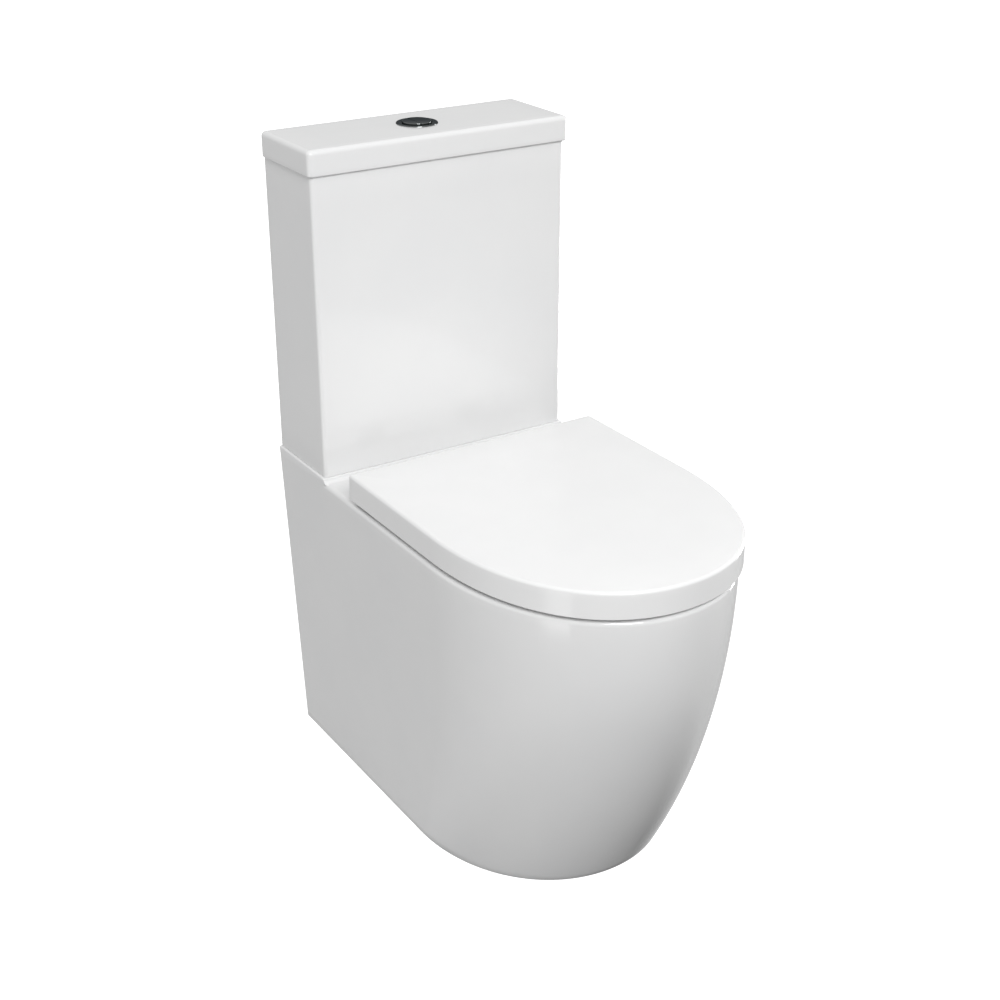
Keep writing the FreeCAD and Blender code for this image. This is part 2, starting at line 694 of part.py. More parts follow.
nodes["seat_bolt_bushes"] = mirrored(
    tube(hinge_x, hinge_y, rim_z - 34, rim_z, seat_hole_r - running_clearance, 3 + thread_clearance))
nodes["seat_bolt_nuts"] = mirrored(
    hexagon(hinge_x, hinge_y, rim_z - 46, rim_z - 34, 12, 3 + thread_clearance))

os.makedirs("parts", exist_ok=True)
for name, shape in nodes.items():
    shape.exportStep(f"parts/{name}.step")
    print(name, shape.isValid(), len(shape.Solids), round(shape.Volume / 1000, 1), "cm3")
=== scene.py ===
import json
import math
import bmesh
import bpy
import numpy as np
from mathutils import Matrix, Vector


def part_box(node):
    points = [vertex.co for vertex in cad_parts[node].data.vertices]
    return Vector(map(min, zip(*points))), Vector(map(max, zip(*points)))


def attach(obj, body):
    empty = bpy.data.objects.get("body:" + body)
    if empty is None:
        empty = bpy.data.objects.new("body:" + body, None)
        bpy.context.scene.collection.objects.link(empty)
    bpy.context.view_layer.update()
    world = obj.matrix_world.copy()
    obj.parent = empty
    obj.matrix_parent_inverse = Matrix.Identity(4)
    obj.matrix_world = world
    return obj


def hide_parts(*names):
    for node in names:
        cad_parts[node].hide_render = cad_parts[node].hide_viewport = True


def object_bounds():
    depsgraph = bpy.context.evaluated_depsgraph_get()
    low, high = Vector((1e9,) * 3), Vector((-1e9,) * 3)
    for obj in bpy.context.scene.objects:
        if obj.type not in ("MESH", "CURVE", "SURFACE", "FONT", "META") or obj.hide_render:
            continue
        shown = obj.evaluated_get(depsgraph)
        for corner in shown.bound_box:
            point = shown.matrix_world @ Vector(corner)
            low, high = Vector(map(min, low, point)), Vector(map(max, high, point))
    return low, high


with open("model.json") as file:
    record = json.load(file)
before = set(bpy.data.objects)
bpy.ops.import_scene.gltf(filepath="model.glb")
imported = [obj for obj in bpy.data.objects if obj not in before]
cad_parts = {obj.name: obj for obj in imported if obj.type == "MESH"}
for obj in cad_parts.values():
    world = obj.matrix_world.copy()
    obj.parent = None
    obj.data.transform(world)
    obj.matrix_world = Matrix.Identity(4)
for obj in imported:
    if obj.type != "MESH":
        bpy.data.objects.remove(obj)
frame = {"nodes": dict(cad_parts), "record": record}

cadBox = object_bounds()
rearY = cadBox[1].y                # the wall plane
roundWeight = math.sqrt(0.5)       # middle weight of a quarter conic that is a true ellipse


# outlines: every one runs anticlockwise seen from above, as arrays of x, y

def conicQuarter(start, corner, end, weight, count):
    # rational quadratic: ((1-t)^2 A + 2 w t (1-t) B + t^2 C) / ((1-t)^2 + 2 w t (1-t) + t^2)
    t = np.linspace(0, 1, count, endpoint=False)[:, None]
    a, b, c = (1 - t) ** 2, 2 * weight * t * (1 - t), t ** 2
    return (a * np.array(start) + b * np.array(corner) + c * np.array(end)) / (a + b + c)


def straight(start, end, count):
    t = np.linspace(0, 1, count, endpoint=False)[:, None]
    return np.array(start) * (1 - t) + np.array(end) * t


def dOutline(half, yBack, yFront, curve, weight, corner, sideCount=28, frontCount=44):
    # right side, rear corner, rear edge, rear corner, left side, then the rounded front
    ySide = yFront + curve
    corner = max(corner, 1e-5)
    return np.vstack([
        straight((half, ySide), (half, yBack - corner), sideCount),
        conicQuarter((half, yBack - corner), (half, yBack), (half - corner, yBack), roundWeight, 8),
        straight((half - corner, yBack), (corner - half, yBack), 48),
        conicQuarter((corner - half, yBack), (-half, yBack), (-half, yBack - corner),
                     roundWeight, 8),
        straight((-half, yBack - corner), (-half, ySide), sideCount),
        conicQuarter((-half, ySide), (-half, yFront), (0, yFront), weight, frontCount),
        conicQuarter((0, yFront), (half, yFront), (half, ySide), weight, frontCount)])


def boxOutline(halfX, y0, y1, corner, rearCorner=None, count=14):
    # rounded rectangle between y0 and y1; the corners at y1 may have their own radius
    c = corner
    k = c if rearCorner is None else rearCorner
    corners = [((halfX, y1 - k), (halfX, y1), (halfX - k, y1)),
               ((k - halfX, y1), (-halfX, y1), (-halfX, y1 - k)),
               ((-halfX, y0 + c), (-halfX, y0), (c - halfX, y0)),
               ((halfX - c, y0), (halfX, y0), (halfX, y0 + c))]
    parts = []
    for (start, corner, end), (nextStart, *rest) in zip(corners, corners[1:] + corners[:1]):
        parts += [conicQuarter(start, corner, end, roundWeight, 9), straight(end, nextStart, count)]
    return np.vstack(parts)


def ovalLike(outline, yMiddle, a, b):
    # the oval's point in the same direction as each point of another outline
    angle = np.arctan2((outline[:, 1] - yMiddle) / b, outline[:, 0] / a)
    return np.column_stack([a * np.cos(angle), yMiddle + b * np.sin(angle)])


def ring(outline, z):
    return np.column_stack([outline, np.broadcast_to(z, len(outline))])


def pole(x, y, z, count):
    return np.tile([x, y, z], (count, 1))


# meshes

def putMesh(name, points, faces):
    mesh = bpy.data.meshes.new(name)
    mesh.from_pydata(points, [], faces)
    piece = bpy.data.objects.new(name, mesh)
    bpy.context.scene.collection.objects.link(piece)
    return piece


def ringSurface(name, rings, joined=False, capped=False):
    # surface over the grid rings[v][u]: u goes round each ring, v from ring to ring; the first and
    # last rings are poles, or get flat caps when capped, or meet each other when joined
    grid = np.array(rings, float)
    levels, count = grid.shape[:2]
    v = np.arange(levels if joined else levels - 1)[:, None]
    u = np.arange(count)[None, :]
    uNext, vNext = (u + 1) % count, (v + 1) % levels
    quads = np.stack([v * count + u, v * count + uNext,
                      vNext * count + uNext, vNext * count + u], -1)
    faces = quads.reshape(-1, 4).tolist()
    if capped:
        faces += [list(range(count))[::-1], list(range((levels - 1) * count, levels * count))]
    return cleaned(putMesh(name, grid.reshape(-1, 3), faces))


def cleaned(piece, gap=2e-6):
    work = bmesh.new()
    work.from_mesh(piece.data)
    bmesh.ops.remove_doubles(work, verts=work.verts, dist=gap)
    bmesh.ops.dissolve_degenerate(work, edges=work.edges, dist=gap)
    bmesh.ops.recalc_face_normals(work, faces=work.faces)
    work.to_mesh(piece.data)
    work.free()
    return piece


def smooth(piece, angle=32):
    piece.data.polygons.foreach_set("use_smooth", [True] * len(piece.data.polygons))
    piece.data.set_sharp_from_angle(angle=math.radians(angle))
    return piece


def combine(piece, others, how):
    # unites with or cuts by each of the others, and keeps the result as the piece's own mesh
    for other in others:
        for solid in (piece, other):
            solid.data.validate()
        cut = piece.modifiers.new("combine", "BOOLEAN")
        cut.operation = how
        cut.solver = "MANIFOLD"
        cut.object = other
    shown = piece.evaluated_get(bpy.context.evaluated_depsgraph_get())
    mesh = bpy.data.meshes.new_from_object(shown)
    piece.modifiers.clear()
    old = piece.data
    piece.data = mesh
    mesh.name = old.name
    bpy.data.meshes.remove(old)
    for other in others:
        spare = other.data
        bpy.data.objects.remove(other)
        bpy.data.meshes.remove(spare)
    return piece


def lathe(name, profile, x, y, count=72):
    # profile is (radius, z) from bottom to top, turned about an upright axis
    angle = np.linspace(0, 2 * np.pi, count, endpoint=False)
    rings = [np.column_stack([x + r * np.cos(angle), y + r * np.sin(angle), np.full(count, z)])
             for r, z in profile]
    return ringSurface(name, rings, joined=profile[0][0] > 1e-6)


def pipe(name, path, radius, count=48):
    # a round section carried along a path in the plane x = 0, each ring square to the path
    path = np.array(path)
    along = np.gradient(path, axis=0)
    along /= np.linalg.norm(along, axis=1)[:, None]
    up = np.cross(along, [1.0, 0, 0])
    angle = np.linspace(0, 2 * np.pi, count, endpoint=False)[:, None]
    sections = [p + radius * (np.cos(angle) * np.array([1.0, 0, 0]) + np.sin(angle) * n)
                for p, n in zip(path, up)]
    ends = [pole(*path[i], count) for i in (0, -1)]
    return ringSurface(name, [ends[0]] + sections + [ends[1]])


def barX(name, x0, x1, y, z, radius, count=40):
    # a round bar along X
    angle = np.linspace(0, 2 * np.pi, count, endpoint=False)
    loop = np.column_stack([y + radius * np.cos(angle), z + radius * np.sin(angle)])
    rings = [np.column_stack([np.full(count, x), loop]) for x in (x0, x1)]
    ends = [pole(x, y, z, count) for x in (x0, x1)]
    return ringSurface(name, [ends[0]] + rings + [ends[1]])


def block(name, x0, x1, y0, y1, z0, z1):
    corners = np.array([(x, y, z) for x in (x0, x1) for y in (y0, y1) for z in (z0, z1)])
    faces = [(0, 1, 3, 2), (4, 6, 7, 5), (0, 4, 5, 1), (2, 3, 7, 6), (0, 2, 6, 4), (1, 5, 7, 3)]
    return cleaned(putMesh(name, corners, faces))


def arcSteps(count):
    return np.linspace(0, np.pi / 2, count)


def splineThrough(values, samples):
    # Catmull-Rom through the rows of values
    values = np.array(values, float)
    padded = np.vstack([2 * values[0] - values[1], values, 2 * values[-1] - values[-2]])
    at = np.linspace(0, len(values) - 1, samples)
    i = np.minimum(at.astype(int), len(values) - 2)
    t = (at - i)[:, None]
    p0, p1, p2, p3 = padded[i], padded[i + 1], padded[i + 2], padded[i + 3]
    return 0.5 * (2 * p1 + (p2 - p0) * t + (2 * p0 - 5 * p1 + 4 * p2 - p3) * t ** 2
                  + (3 * p1 - p0 - 3 * p2 + p3) * t ** 3)


# materials

def shader(name, color, roughness, metallic=0.0, coat=0.0):
    material = bpy.data.materials.new(name)
    material.use_nodes = True
    surface = material.node_tree.nodes["Principled BSDF"]
    surface.inputs["Base Color"].default_value = (*color, 1)
    surface.inputs["Roughness"].default_value = roughness
    surface.inputs["Metallic"].default_value = metallic
    surface.inputs["Coat Weight"].default_value = coat
    surface.inputs["Coat Roughness"].default_value = 0.03
    return material, surface


def mottle(material, surface, colors, scale):
    # slow colour change over the surface
    tree = material.node_tree
    place = tree.nodes.new("ShaderNodeTexCoord")
    noise = tree.nodes.new("ShaderNodeTexNoise")
    noise.inputs["Scale"].default_value = scale
    noise.inputs["Detail"].default_value = 3.0
    ramp = tree.nodes.new("ShaderNodeValToRGB")
    ramp.color_ramp.elements[0].position = 0.35
    ramp.color_ramp.elements[1].position = 0.65
    ramp.color_ramp.elements[0].color = (*colors[0], 1)
    ramp.color_ramp.elements[1].color = (*colors[1], 1)
    tree.links.new(place.outputs["Object"], noise.inputs["Vector"])
    tree.links.new(noise.outputs["Fac"], ramp.inputs["Fac"])
    tree.links.new(ramp.outputs["Color"], surface.inputs["Base Color"])


def roughen(material, surface, low, high, scale, stretch=(1, 1, 1)):
    # roughness that wanders between two values
    tree = material.node_tree
    place = tree.nodes.new("ShaderNodeTexCoord")
    turn = tree.nodes.new("ShaderNodeMapping")
    turn.inputs["Scale"].default_value = stretch
    noise = tree.nodes.new("ShaderNodeTexNoise")
    noise.inputs["Scale"].default_value = scale
    span = tree.nodes.new("ShaderNodeMapRange")
    span.inputs["From Min"].default_value = 0.3
    span.inputs["From Max"].default_value = 0.7
    span.inputs["To Min"].default_value = low
    span.inputs["To Max"].default_value = high
    tree.links.new(place.outputs["Object"], turn.inputs["Vector"])
    tree.links.new(turn.outputs["Vector"], noise.inputs["Vector"])
    tree.links.new(noise.outputs["Fac"], span.inputs["Value"])
    tree.links.new(span.outputs["Result"], surface.inputs["Roughness"])


def bumps(material, surface, scale, height, strength, stretch=(1, 1, 1)):
    # fine relief; height in metres
    tree = material.node_tree
    place = tree.nodes.new("ShaderNodeTexCoord")
    turn = tree.nodes.new("ShaderNodeMapping")
    turn.inputs["Scale"].default_value = stretch
    noise = tree.nodes.new("ShaderNodeTexNoise")
    noise.inputs["Scale"].default_value = scale
    noise.inputs["Detail"].default_value = 2.0
    bump = tree.nodes.new("ShaderNodeBump")
    bump.inputs["Distance"].default_value = height
    bump.inputs["Strength"].default_value = strength
    tree.links.new(place.outputs["Object"], turn.inputs["Vector"])
    tree.links.new(turn.outputs["Vector"], noise.inputs["Vector"])
    tree.links.new(noise.outputs["Fac"], bump.inputs["Height"])
    tree.links.new(bump.outputs["Normal"], surface.inputs["Normal"])


def whiteGlaze():
    material, surface = shader("whiteGlaze", (0.8, 0.8, 0.8), 0.1, coat=0.5)
    mottle(material, surface, ((0.79, 0.792, 0.794), (0.806, 0.807, 0.806)), 9)
    roughen(material, surface, 0.09, 0.15, 30)
    bumps(material, surface, 55, 0.0006, 0.05)
    return material


def whiteSeat():
    material, surface = shader("whiteSeat", (0.83, 0.83, 0.83), 0.16, coat=0.3)
    mottle(material, surface, ((0.822, 0.823, 0.823), (0.835, 0.836, 0.835)), 14)
    roughen(material, surface, 0.14, 0.2, 60)
    bumps(material, surface, 220, 0.0002, 0.04)
    return material


def chromeWithPaintedDarkReflection():
    # colour and edge tint are far darker than chrome's own: a painted dark reflection; the
    # roughness and fine relief are the metal's
    material, surface = shader("chromeWithPaintedDarkReflection", (0.16, 0.168, 0.168), 0.07, metallic=1.0)
    surface.inputs["Specular Tint"].default_value = (0.3, 0.31, 0.32, 1)
    roughen(material, surface, 0.05, 0.12, 400, (1, 6, 1))
    bumps(material, surface, 900, 0.00004, 0.1, (1, 8, 1))
    return material


def metal(name, color, low, high, stretch):
    material, surface = shader(name, color, low, metallic=1.0)
    mottle(material, surface, (tuple(c * 0.85 for c in color), color), 60)
    roughen(material, surface, low, high, 300, stretch)
    bumps(material, surface, 500, 0.0001, 0.2, stretch)
    return material


def plastic(name, color, roughness):
    material, surface = shader(name, color, roughness)
    mottle(material, surface, (tuple(c * 0.93 for c in color), color), 40)
    roughen(material, surface, roughness - 0.06, roughness + 0.06, 120)
    bumps(material, surface, 700, 0.00015, 0.25)
    return material


finishes = {
    "vitreous_china": whiteGlaze(),
    "seat_thermoset": whiteSeat(),
    "polished_chrome": chromeWithPaintedDarkReflection(),
    "stainless_steel": metal("stainlessSteel", (0.58, 0.58, 0.6), 0.22, 0.36, (1, 1, 12)),
    "brass": metal("castBrass", (0.66, 0.5, 0.22), 0.3, 0.45, (1, 1, 1)),
    "black_rubber": plastic("blackRubber", (0.035, 0.035, 0.036), 0.62),
    "pale_rubber": plastic("paleRubber", (0.72, 0.72, 0.7), 0.5),
    "valve_plastic": plastic("valvePlastic", (0.78, 0.78, 0.75), 0.4),
    "coloured_valve_plastic": plastic("blueValvePlastic", (0.07, 0.2, 0.45), 0.38)}


def finish(piece, slotName, body, *replaced):
    piece.data.materials.clear()
    piece.data.materials.append(finishes[slotName])
    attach(piece, body)
    if replaced:
        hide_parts(*replaced)
    return piece


slotOfNode = {row["node"]: row["material_slot"] for row in frame["record"]["subparts"]}
for nodeName, node in frame["nodes"].items():
    node.data.materials.clear()
    node.data.materials.append(finishes[slotOfNode[nodeName]])
print("materials ready")

# camera and light

view = {"azimuth": -32.37, "elevation": 25.22, "distance": 2.0129, "right": -0.026, "up": 0.0128,
        "aimDepth": 0.3036, "aimHeight": 0.4048, "lens": 59.11}


def placeCamera():
    turn, tilt = math.radians(view["azimuth"]), math.radians(view["elevation"])
    right = Vector((math.cos(turn), math.sin(turn), 0))
    back = Vector((math.sin(turn) * math.cos(tilt), -math.cos(turn) * math.cos(tilt),
                   math.sin(tilt)))
    up = back.cross(right)
    aim = Vector((0, rearY - view["aimDepth"], view["aimHeight"]))
    place = aim + right * view["right"] + up * view["up"] + back * view["distance"]
    data = bpy.data.cameras.new("camera")
    data.lens = view["lens"]
    data.sensor_width = 36
    camera = bpy.data.objects.new("camera", data)
    turned = Matrix((right, up, back)).transposed().to_4x4()
    camera.matrix_world = Matrix.Translation(place) @ turned
    bpy.context.scene.collection.objects.link(camera)
    bpy.context.scene.camera = camera


# levels of the grey room by height of the direction, from straight down to straight up
light = {"room": ((0.0, 0.03), (0.1, 0.04), (0.17, 0.5), (0.48, 0.58), (0.75, 0.68), (1.0, 0.68)),
         "darkAzimuth": -50, "darkElevation": -15, "darkLevel": 0.45, "darkFade": (0.88, 0.97),
         "panelLevel": 1.4, "panelTurns": ((-2.61, -2.63), (-3.02, -2.85)),
         "panelHeights": ((-0.55, -0.52), (-0.2, -0.3)),
         "floorBright": 0.55, "floorDark": 0.05, "floorFade": (-0.12, 0.32),
         "floorWay": (0.7, -0.7, 0), "floorHalf": 8, "floorThick": 0.02}
lamps = {"topSoftbox": ((0.5, -2.0, 4.2), (0, 0, 0.4), (1.9, 1.4), 8),
         "rightSoftbox": ((2.8, 0.2, 0.35), (0, 0, 0.4), (0.8, 1.8), 56),
         "frontSoftbox": ((-0.8, -2.7, 2.7), (0, 0, 0.6), (1.4, 1.0), 72)}


def softLight(name, place, target, size, power):
    data = bpy.data.lights.new(name, "AREA")
    data.shape = "RECTANGLE"
    data.size, data.size_y = size
    data.energy = power
    lamp = bpy.data.objects.new(name, data)
    lamp.location = place
    lamp.rotation_euler = (Vector(target) - Vector(place)).to_track_quat("-Z", "Y").to_euler()
    bpy.context.scene.collection.objects.link(lamp)


def spread(tree, low, high):
    # maps low to 0 and high to 1
    node = tree.nodes.new("ShaderNodeMapRange")
    node.inputs["From Min"].default_value = low
    node.inputs["From Max"].default_value = high
    return node


def direction(azimuth, elevation):
    turn, tilt = math.radians(azimuth), math.radians(elevation)
    return (math.cos(turn) * math.cos(tilt), math.sin(turn) * math.cos(tilt), math.sin(tilt))


def buildWorld():
    # grey room, dark straight below and with one dark side, that shows plain white to the camera
    world = bpy.data.worlds.new("studio")
    world.use_nodes = True
    tree = world.node_tree
    room, output = tree.nodes["Background"], tree.nodes["World Output"]
    place = tree.nodes.new("ShaderNodeTexCoord")
    split = tree.nodes.new("ShaderNodeSeparateXYZ")
    shift = spread(tree, -1, 1)
    ramp = tree.nodes.new("ShaderNodeValToRGB")
    levels = light["room"]
    stops = ramp.color_ramp.elements
    stops[0].position, stops[1].position = levels[0][0], levels[-1][0]
    for position, _ in levels[1:-1]:
        stops.new(position)
    for stop, (_, level) in zip(stops, levels):
        stop.color = (level, level, level, 1)
    tree.links.new(place.outputs["Generated"], split.inputs["Vector"])
    tree.links.new(split.outputs["Z"], shift.inputs["Value"])
    tree.links.new(shift.outputs["Result"], ramp.inputs["Fac"])
    # the dark side: how closely the direction agrees with its middle
    agree = tree.nodes.new("ShaderNodeVectorMath")
    agree.operation = "DOT_PRODUCT"
    agree.inputs[1].default_value = direction(light["darkAzimuth"], light["darkElevation"])
    near = spread(tree, *light["darkFade"])
    darker = tree.nodes.new("ShaderNodeMix")
    darker.data_type = "RGBA"
    darker.inputs["B"].default_value = (light["darkLevel"],) * 3 + (1,)
    tree.links.new(place.outputs["Generated"], agree.inputs[0])
    tree.links.new(agree.outputs["Value"], near.inputs["Value"])
    tree.links.new(near.outputs["Result"], darker.inputs["Factor"])
    tree.links.new(ramp.outputs["Color"], darker.inputs["A"])
    # one bright panel low on the left, with a sharp edge, seen only in mirror reflections
    turnTo = tree.nodes.new("ShaderNodeMath")
    turnTo.operation = "ARCTAN2"
    tree.links.new(split.outputs["Y"], turnTo.inputs[0])
    tree.links.new(split.outputs["X"], turnTo.inputs[1])
    gates = [(turnTo.outputs["Value"], *edge) for edge in light["panelTurns"]]
    gates += [(split.outputs["Z"], *edge) for edge in light["panelHeights"]]
    panel = None
    for source, low, high in gates:
        gate = spread(tree, low, high)
        tree.links.new(source, gate.inputs["Value"])
        if panel is None:
            gate.inputs["To Max"].default_value = light["panelLevel"]
            panel = gate.outputs["Result"]
            continue
        times = tree.nodes.new("ShaderNodeMath")
        times.operation = "MULTIPLY"
        tree.links.new(panel, times.inputs[0])
        tree.links.new(gate.outputs["Result"], times.inputs[1])
        panel = times.outputs["Value"]
    total = tree.nodes.new("ShaderNodeVectorMath")
    total.operation = "ADD"
    tree.links.new(darker.outputs["Result"], total.inputs[0])
    tree.links.new(panel, total.inputs[1])
    tree.links.new(total.outputs["Vector"], room.inputs["Color"])
    plain = tree.nodes.new("ShaderNodeBackground")
    plain.inputs["Color"].default_value = (1, 1, 1, 1)
    seen = tree.nodes.new("ShaderNodeLightPath")
    choose = tree.nodes.new("ShaderNodeMixShader")
    tree.links.new(seen.outputs["Is Camera Ray"], choose.inputs["Fac"])
    tree.links.new(room.outputs["Background"], choose.inputs[1])
    tree.links.new(plain.outputs["Background"], choose.inputs[2])
    tree.links.new(choose.outputs["Shader"], output.inputs["Surface"])
    bpy.context.scene.world = world


def floorPaint():
    # pale floor: nearly even white to the camera with a soft shadow; to other light a grey that
    # darkens towards the front right, and mirror reflections see the room's lower half instead
    paint, surface = shader("floorPaint", (0.5, 0.5, 0.5), 0.7)
    tree = paint.node_tree
    place = tree.nodes.new("ShaderNodeTexCoord")
    along = tree.nodes.new("ShaderNodeVectorMath")
    along.operation = "DOT_PRODUCT"
    along.inputs[1].default_value = light["floorWay"]
    fade = spread(tree, *light["floorFade"])
    grey = tree.nodes.new("ShaderNodeMix")
    grey.data_type = "RGBA"
    grey.inputs["A"].default_value = (light["floorBright"],) * 3 + (1,)
    grey.inputs["B"].default_value = (light["floorDark"],) * 3 + (1,)
    tree.links.new(place.outputs["Object"], along.inputs[0])
    tree.links.new(along.outputs["Value"], fade.inputs["Value"])
    tree.links.new(fade.outputs["Result"], grey.inputs["Factor"])
    tree.links.new(grey.outputs["Result"], surface.inputs["Base Color"])
    glow = tree.nodes.new("ShaderNodeEmission")
    clear = tree.nodes.new("ShaderNodeBsdfTransparent")
    both = tree.nodes.new("ShaderNodeAddShader")
    seen = tree.nodes.new("ShaderNodeLightPath")
    mirrored, choose = tree.nodes.new("ShaderNodeMixShader"), tree.nodes.new("ShaderNodeMixShader")
    tree.links.new(glow.outputs["Emission"], both.inputs[0])
    tree.links.new(surface.outputs["BSDF"], both.inputs[1])
    tree.links.new(seen.outputs["Is Glossy Ray"], mirrored.inputs["Fac"])
    tree.links.new(surface.outputs["BSDF"], mirrored.inputs[1])
    tree.links.new(clear.outputs["BSDF"], mirrored.inputs[2])
    tree.links.new(seen.outputs["Is Camera Ray"], choose.inputs["Fac"])
    tree.links.new(mirrored.outputs["Shader"], choose.inputs[1])
    tree.links.new(both.outputs["Shader"], choose.inputs[2])
    tree.links.new(choose.outputs["Shader"], tree.nodes["Material Output"].inputs["Surface"])
    return paint


def buildStudio():
    buildWorld()
    bpy.context.scene.view_settings.view_transform = "Standard"
    for name, lamp in lamps.items():
        softLight(name, *lamp)
    half = light["floorHalf"]
    floor = block("floor", -half, half, -half, half, -light["floorThick"], 0)
    floor.data.materials.append(floorPaint())


placeCamera()
buildStudio()
print("camera and studio ready")

# pan

pan = {
    "topHalf": 0.17975, "floorHalf": 0.162, "rimHeight": 0.4165, "platformHeight": 0.4225,
    "platformDepth": 0.127, "topFront": 0.6307, "floorFront": 0.5135, "topCurve": 0.2397,
    "floorCurve": 0.1927, "frontPower": 1.97, "frontWeight": 0.75, "wall": 0.012, "deck": 0.016,
    "rimRound": 0.006, "footRound": 0.0015, "lipRound": 0.006, "bowlWall": 0.012,
    "bowlDome": 0.006, "stepBlend": 0.005, "stepEdge": 0.0015, "sideRound": 0.002,
    "trapRadius": 0.051, "trapWall": 0.011, "dipHeight": 0.112, "weirHeight": 0.236,
    "outletHeight": 0.18, "outletDepth": 0.04,
    "trapStarts": (0.400, 0.326, 0.223, 0.169, 0.104), "trapBends": (0.06, 0.06, 0.055, 0.055),
    "flushDepth": 0.065, "flushRadius": 0.032, "flushDrop": 0.072, "recessRadius": 0.05,
    "recessDrop": 0.022, "chamberWall": 0.012, "chamberDrop": 0.088, "collarRadius": 0.059,
    "collarDrop": 0.036, "ductOuter": 0.04, "ductInner": 0.028, "ductReach": 0.3,
    "ductLow": 0.077, "ductWall": 0.012, "ductRoof": 0.028, "ductPast": 0.005,
    "boltX": 0.076, "seatX": 0.0775, "seatDepth": 0.2052, "boltHole": 0.007, "holeDrop": 0.03,
    "inletX": 0.118, "notchHalf": 0.027, "notchReach": 0.092, "past": 0.01}
# height, distance of the middle from the wall, half width and half length, from the mouth down
bowlLevels = [(0.4105, 0.438, 0.120, 0.152), (0.380, 0.438, 0.121, 0.152),
              (0.330, 0.440, 0.114, 0.142), (0.270, 0.440, 0.096, 0.118),
              (0.210, 0.428, 0.074, 0.090), (0.150, 0.412, 0.056, 0.063),
              (0.100, 0.405, 0.045, 0.047), (0.078, 0.403, 0.037, 0.038)]


def panOutline(z, inset, yBack=rearY):
    # D section at a height: width grows evenly, the front sweeps out as 1 - (1 - t)^power
    t = z / pan["rimHeight"]
    half = pan["floorHalf"] + (pan["topHalf"] - pan["floorHalf"]) * t - inset
    sweep = 1 - abs(1 - t) ** pan["frontPower"]
    front = pan["floorFront"] + (pan["topFront"] - pan["floorFront"]) * sweep - inset
    curve = pan["floorCurve"] + (pan["topCurve"] - pan["floorCurve"]) * t - inset
    yFront = rearY - front
    ySide = yFront + curve
    return np.vstack([
        straight((half, ySide), (half, yBack), 40),
        straight((half, yBack), (-half, yBack), 40),
        straight((-half, yBack), (-half, ySide), 40),
        conicQuarter((-half, ySide), (-half, yFront), (0, yFront), pan["frontWeight"], 56),
        conicQuarter((0, yFront), (half, yFront), (half, ySide), pan["frontWeight"], 56)])


def panSolidRings():
    # the outside from the floor up, over the rim and down into the bowl
    rim, r, foot, lip = pan["rimHeight"], pan["rimRound"], pan["footRound"], pan["lipRound"]
    rimOutline = panOutline(rim, r)
    count = len(rimOutline)
    outer = [(0.0, foot), (foot * 0.3, foot * 0.3)]
    outer += [(z, 0.0) for z in np.linspace(foot, rim - r, 46)]
    outer += [(rim - r + r * math.sin(a), r * (1 - math.cos(a))) for a in arcSteps(9)[1:]]
    rings = [pole(0, 0.08, 0, count)] + [ring(panOutline(z, inset), z) for z, inset in outer]
    z, back, a, b = bowlLevels[0]
    mouth = ovalLike(rimOutline, rearY - back, a + lip, b + lip)
    for t in np.linspace(0, 1, 14)[1:-1]:
        rings.append(ring(rimOutline * (1 - t) + mouth * t, rim))
    for step in arcSteps(7):
        grow = lip * (1 - math.sin(step))
        rings.append(ring(ovalLike(rimOutline, rearY - back, a + grow, b + grow),
                          rim - lip * (1 - math.cos(step))))
    for z, back, a, b in splineThrough(bowlLevels, 60)[1:]:
        rings.append(ring(ovalLike(rimOutline, rearY - back, a, b), z))
    z, back, a, b = bowlLevels[-1]
    for step in arcSteps(6)[1:-1]:
        k = math.cos(step)
        rings.append(ring(ovalLike(rimOutline, rearY - back, a * k, b * k),
                          z - pan["bowlDome"] * math.sin(step)))
    rings.append(pole(0, rearY - back, z - pan["bowlDome"], count))
    return rings


def bowlSolid(grow, low, high, count=96):
    # the bowl's own shape, larger by grow all round, between two heights
    angle = np.linspace(0, 2 * np.pi, count, endpoint=False)
    rows = list(splineThrough(bowlLevels, 60)[::-1])
    rings = [pole(0, rearY - rows[0][1], low, count)]
    for z, back, a, b in [(low, *rows[0][1:])] + rows + [(high, *rows[-1][1:])]:
        rings.append(np.column_stack([(a + grow) * np.cos(angle),
                                      rearY - back + (b + grow) * np.sin(angle),
                                      np.full(count, z)]))
    rings.append(pole(0, rearY - rows[-1][1], high, count))
    return ringSurface("bowlSolid", rings)


def panCavity():
    # the room inside the skirt, open below and behind, round the bowl, trap and flush inlet
    levels = np.linspace(-pan["past"], pan["rimHeight"] - pan["deck"], 25)
    rings = [ring(panOutline(z, pan["wall"], rearY + 2 * pan["past"]), z) for z in levels]
    count = len(rings[0])
    rings = [pole(0, 0.08, levels[0], count)] + rings + [pole(0, 0.08, levels[-1], count)]
    cavity = ringSurface("panCavity", rings)
    rim, top, flushY = pan["rimHeight"], pan["platformHeight"], rearY - pan["flushDepth"]
    under = bowlLevels[-1][0] - pan["bowlDome"] - pan["bowlWall"]
    chamber, collar = pan["flushRadius"] + pan["chamberWall"], pan["collarRadius"]
    low, step = top - pan["chamberDrop"], top - pan["collarDrop"]
    kept = [bowlSolid(pan["bowlWall"], under, rim),
            pipe("trapOuter", trapPath()[4:], pan["trapRadius"]),
            lathe("chamber", [(0, low), (chamber, low), (chamber, step), (collar, step),
                              (collar, rim), (0, rim)], 0, flushY),
            block("duct", -pan["ductOuter"], pan["ductOuter"], rearY - pan["ductReach"], flushY,
                  rim - pan["ductLow"], rim)]
    return combine(cavity, kept, "DIFFERENCE")


